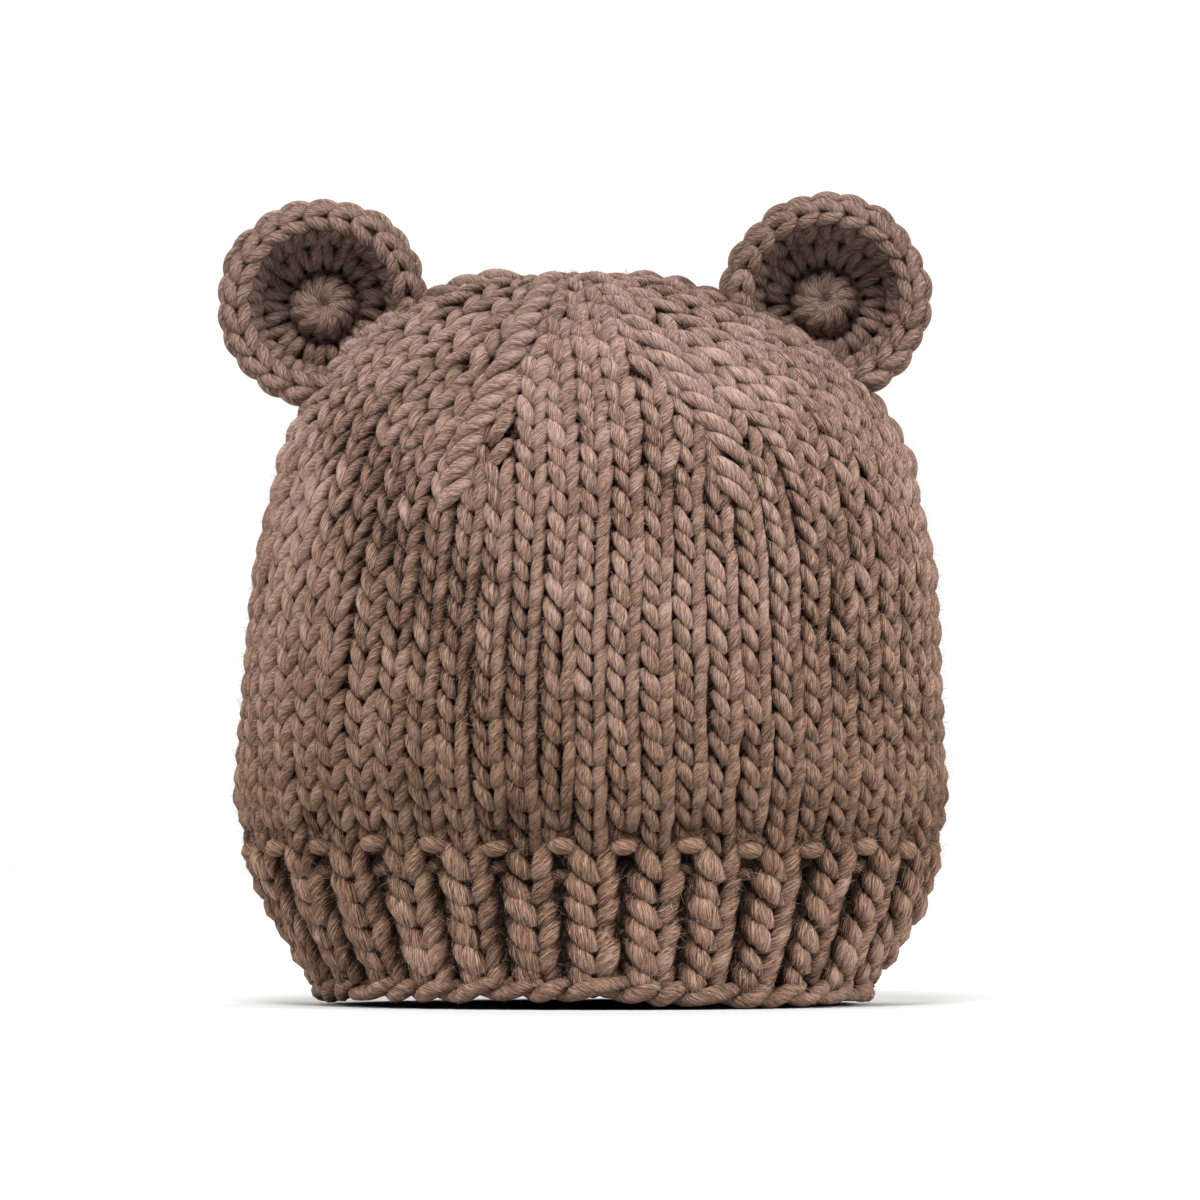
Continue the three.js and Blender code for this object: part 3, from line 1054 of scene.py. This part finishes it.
# The rim is a chain of loops, each drawn through the last
def chainLoop(yarn, middle, side, k, jitter):
    t = np.linspace(0, tau, 29)[:-1]
    opened = (1 - np.cos(t)) / 2
    lengthwise = chain["long"] * opened - 0.2 + 0.05 * jitter[0]
    across = chain["half"] * np.sin(t) * (0.2 + 0.8 * opened) * (1 + 0.06 * jitter[1])
    lift = 1.7 * np.sin(t) ** 2 + 1.1 * np.cos(t) * np.sin(t) ** 2 - chain["sink"] + 0.12 * jitter[2]
    radial = radialOf((k + lengthwise) / chain["count"], side)
    centre = middle + radial * (chain["ring"] + across)[:, None] + ahead * lift[:, None]
    centre[:, 1] += 0.1 * across**2  # the chain's edges fall back
    thick = chain["radius"] * (0.6 + 0.4 * np.abs(np.sin(t)) ** 1.2)
    tone = np.full(len(t), 0.04 * jitter[3] + chain["tone"])
    normal = np.broadcast_to(ahead, centre.shape)
    yarn.add(centre, normal, thick, tone, keep=clearOfCrown(centre))


# Behind each loop is a bump, where the last round's stitch leans over the rim
def rimBump(yarn, middle, side, k, jitter):
    t = np.linspace(0, 1, 14)
    bow = np.sin(math.pi * t)
    radial = radialOf((k + 0.35 + bump["long"] * (t - 0.5) + 0.08 * jitter[1]) / chain["count"], side)
    far = bump["ring"] + bump["rise"] * bow**0.7 + bump["slant"] * (t - 0.5) + 0.25 * jitter[2]
    centre = middle + radial * far[:, None] - ahead * (bump["behind"] - bump["forward"] * t)[:, None]
    thick = bump["radius"] * (0.45 + 0.55 * bow**0.7) * (1 + 0.07 * jitter[3])
    tone = np.full(len(t), 0.04 * jitter[0])
    yarn.add(centre, ahead * 0.5 + radial, thick, tone, closed=False, keep=clearOfCrown(centre))


# Between the two layers of stitches, a sheet painted with shade closes the holes
def earShadeSheets(yarn, hollow, outside):
    turns = np.arange(ear["coreTurn"]) / ear["coreTurn"]
    rings = []
    for share in ear["coreShares"]:
        one, two = [wall.ring(share, turns) for wall in (hollow, outside)]
        rings.append((one + two) / 2)
    for low, high in zip(rings, rings[1:]):
        yarn.sheet(low, high, ear["coreShade"], clearOfCrown(low))


def crochetEar(node, side):
    low, high = nodeBox(node)
    outermost = high[0] if side > 0 else low[0]
    middle = np.array([outermost - side * ear["rim"], low[1], high[2] - ear["rim"]])
    walls = {wall: CupWall(ear[wall], middle, side, way) for wall, way in (("inner", 1), ("outer", -1))}
    yarn = Yarn(node + "_crochet")
    r = np.random.default_rng(60 + side)
    rosette(yarn, walls["inner"], r)
    for wall, *settings in ear["rings"]:
        crochetRing(yarn, walls[wall], r, *settings)
    for k in range(chain["count"]):
        jitter = r.normal(0, 1, 4)
        chainLoop(yarn, middle, side, k, jitter)
        rimBump(yarn, middle, side, k, jitter)
    earShadeSheets(yarn, walls["inner"], walls["outer"])
    return yarn.build(woolYarn, node)


earLeft = crochetEar("ear_left", -1)
earRight = crochetEar("ear_right", 1)


# Loose fibres: fine curved hairs scattered over the yarn with geometry nodes
fibre = {
    "rows": 3,  # rows of vertices in a hair
    "width": 0.011,  # half width, as a share of its length
    "taper": 0.6,
    "bend": (0.22, 0.3),
    "reach": 0.95,
    "scale": (0.45, 1.3),
    "tilt": ((-0.2, 0.85, -3.14), (0.2, 1.5, 3.14)),
    "colours": [(0.35, (0.09, 0.05, 0.032)), (0.65, (0.4, 0.29, 0.235))],
    "pattern": 160.0,
    "roughness": 0.8,
    "specular": 0.2,
    "knitting": (850000, 0.0024),  # hairs to a square metre, and their length in metres
    "crochet": (700000, 0.0021),
    "floor": 0.0001,  # none goes lower, in metres
    "seed": 70,
}


def hairShape():
    verts = []
    for step in np.linspace(0, 1, fibre["rows"]):
        width = fibre["width"] * (1 - fibre["taper"] * step)
        x, y = [bend * step**2 for bend in fibre["bend"]]
        verts += [(x, y + side * width, fibre["reach"] * step) for side in (-1, 1)]
    faces = [(2 * k, 2 * k + 1, 2 * k + 3, 2 * k + 2) for k in range(fibre["rows"] - 1)]
    mesh = bpy.data.meshes.new("hair")
    mesh.from_pydata(verts, [], faces)
    return bpy.data.objects.new("hair", mesh)


def fibreMaterial():
    material, nodes, links, shader = newMaterial("loose_fibre")
    place = nodes.new("ShaderNodeTexCoord")
    noise = nodes.new("ShaderNodeTexNoise")
    noise.inputs["Scale"].default_value = fibre["pattern"]
    colour = colourRamp(nodes, fibre["colours"])
    links.new(place.outputs["Object"], noise.inputs["Vector"])
    links.new(noise.outputs["Fac"], colour.inputs[0])
    links.new(colour.outputs[0], shader.inputs["Base Color"])
    shader.inputs["Roughness"].default_value = fibre["roughness"]
    shader.inputs["Specular IOR Level"].default_value = fibre["specular"]
    return material


def scatterTree(hair, material):
    tree = bpy.data.node_groups.new("scatter_fibres", "GeometryNodeTree")
    inputs = {"Geometry": "Geometry", "Density": "Float", "Seed": "Int", "Length": "Float"}
    for name, kind in inputs.items():
        tree.interface.new_socket(name, in_out="INPUT", socket_type="NodeSocket" + kind)
    tree.interface.new_socket("Geometry", in_out="OUTPUT", socket_type="NodeSocketGeometry")

    # a node whose inputs are linked or set
    def node(kind, sockets, **settings):
        made = tree.nodes.new(kind)
        for name, value in settings.items():
            setattr(made, name, value)
        for name, value in sockets.items():
            if isinstance(value, bpy.types.NodeSocket):
                tree.links.new(value, made.inputs[name])
            else:
                made.inputs[name].default_value = value
        return made.outputs

    def times(a, b):
        return node("ShaderNodeMath", {0: a, 1: b}, operation="MULTIPLY")[0]

    def between(pair, first, kind):
        return node("FunctionNodeRandomValue", {first: pair[0], first + 1: pair[1]}, data_type=kind)

    enter = node("NodeGroupInput", {})
    hairy = node("GeometryNodeInputNamedAttribute", {"Name": "hairy"}, data_type="FLOAT")
    density = times(hairy["Attribute"], enter["Density"])
    places = {"Mesh": enter["Geometry"], "Density": density, "Seed": enter["Seed"]}
    scatter = node("GeometryNodeDistributePointsOnFaces", places)
    source = node("GeometryNodeObjectInfo", {"Object": hair})
    size = times(between(fibre["scale"], 2, "FLOAT")[1], enter["Length"])
    hairs = {"Points": scatter["Points"], "Rotation": scatter["Rotation"], "Scale": size}
    put = node("GeometryNodeInstanceOnPoints", {"Instance": source["Geometry"], **hairs})
    spin = between(fibre["tilt"], 0, "FLOAT_VECTOR")
    turn = node("GeometryNodeRotateInstances", {"Instances": put[0], "Rotation": spin[0]})
    real = node("GeometryNodeRealizeInstances", {0: turn[0]})
    paint = node("GeometryNodeSetMaterial", {"Geometry": real[0], "Material": material})
    node("NodeGroupOutput", {"Geometry": paint[0]})
    sockets = {i.name: i.identifier for i in tree.interface.items_tree if i.in_out == "INPUT"}
    return tree, sockets


fibreTree, fibreSockets = scatterTree(hairShape(), fibreMaterial())


def fibresOver(piece, kind, seed, node):
    density, length = fibre[kind]
    over = piece.copy()
    bpy.context.collection.objects.link(over)
    scatter = over.modifiers.new("fibres", "NODES")
    scatter.node_group = fibreTree
    scatter[fibreSockets["Density"]] = float(density)
    scatter[fibreSockets["Length"]] = float(length)
    scatter[fibreSockets["Seed"]] = seed
    bpy.context.view_layer.update()
    graph = bpy.context.evaluated_depsgraph_get()
    mesh = bpy.data.meshes.new_from_object(over.evaluated_get(graph))
    bpy.data.objects.remove(over)
    places = np.empty(len(mesh.vertices) * 3)
    mesh.vertices.foreach_get("co", places)
    places[2::3] = np.maximum(places[2::3], fibre["floor"])
    mesh.vertices.foreach_set("co", places)
    mesh.name = piece.name + "_fuzz"
    newPiece(mesh.name, mesh, node)


coats = [(band, "knitting", "rib_band"), (castOnEdge, "crochet", "cast_on_edge")]
coats += [(piece, "knitting", "crown") for piece in crown]
coats += [(earLeft, "crochet", "ear_left"), (earRight, "crochet", "ear_right")]
for number, (piece, kind, node) in enumerate(coats):
    fibresOver(piece, kind, fibre["seed"] + number, node)


# Stage, light and camera, in metres
studio = {
    "paper": (0.5, 0.5, 0.5, 1),
    "paperRoughness": 0.9,
    "halfWidth": 9.0,
    "front": -9.0,
    "bendFrom": 2.2,  # where the floor turns up into a backdrop
    "bend": 0.9,
    "wallTop": 5.0,
    "world": 0.1,
    "lights": [  # name, place, target, size and power
        ("key", (-0.12, -0.82, 1.25), (0, 0, 0.09), (0.5, 0.35), 25.8),
        ("fill_left", (-1.7, -0.6, 0.7), (0, 0, 0.08), (0.7, 0.7), 27),
        ("fill_right", (1.7, -0.6, 0.8), (0, 0, 0.08), (0.7, 0.7), 44),
        ("wall", (0, 1.0, 2.4), (0, 3.1, 0.3), (2.5, 1.0), 130),
        ("back", (-0.7, 1.3, 0.9), (0, 0, 0.08), (0.9, 0.9), 5),
    ],
}
shot = {
    "distance": 1.8,
    "width": 0.2557,  # of the photo, at the hat's middle
    "across": 0.0041,  # where the photo's middle is
    "middle": 0.0862,
    "height": 0.05,  # of the camera, above the floor
    "sensor": 36,
}


def sweepFloor():
    bend, wall = studio["bend"], studio["bendFrom"] + studio["bend"]
    steps = [(studio["front"], 0.0), (studio["bendFrom"], 0.0)]
    for a in np.linspace(0.1, math.pi / 2, 14):
        steps.append((studio["bendFrom"] + bend * math.sin(a), bend - bend * math.cos(a)))
    steps.append((wall, studio["wallTop"]))
    verts = [(x, y, z) for y, z in steps for x in (-studio["halfWidth"], studio["halfWidth"])]
    faces = [(2 * k, 2 * k + 1, 2 * k + 3, 2 * k + 2) for k in range(len(steps) - 1)]
    mesh = bpy.data.meshes.new("floor")
    mesh.from_pydata(verts, [], faces)
    mesh.polygons.foreach_set("use_smooth", [True] * len(faces))
    paper, *_, shader = newMaterial("paper")
    shader.inputs["Base Color"].default_value = studio["paper"]
    shader.inputs["Roughness"].default_value = studio["paperRoughness"]
    mesh.materials.append(paper)
    newObject("floor", mesh)


def areaLight(name, place, target, size, power):
    light = bpy.data.lights.new(name, "AREA")
    light.shape = "RECTANGLE"
    light.size, light.size_y = size
    light.energy = power
    lamp = newObject(name, light)
    lamp.location = place
    lamp.rotation_euler = (Vector(target) - Vector(place)).to_track_quat("-Z", "Y").to_euler()


def photoCamera():
    camera = bpy.data.cameras.new("camera")
    camera.sensor_width = shot["sensor"]
    camera.lens = shot["sensor"] * shot["distance"] / shot["width"]
    camera.shift_y = (shot["middle"] - shot["height"]) / shot["width"]
    holder = newObject("camera", camera)
    holder.location = (shot["across"], -shot["distance"], shot["height"])
    holder.rotation_euler = (math.pi / 2, 0, 0)
    return holder


sweepFloor()
for light in studio["lights"]:
    areaLight(*light)
world = bpy.data.worlds.new("studio")
world.use_nodes = True
world.node_tree.nodes["Background"].inputs[0].default_value = (1, 1, 1, 1)
world.node_tree.nodes["Background"].inputs[1].default_value = studio["world"]
bpy.context.scene.world = world
bpy.context.scene.view_settings.view_transform = "Standard"
bpy.context.scene.camera = photoCamera()
print("studio: floor,", len(studio["lights"]), "lights and camera")
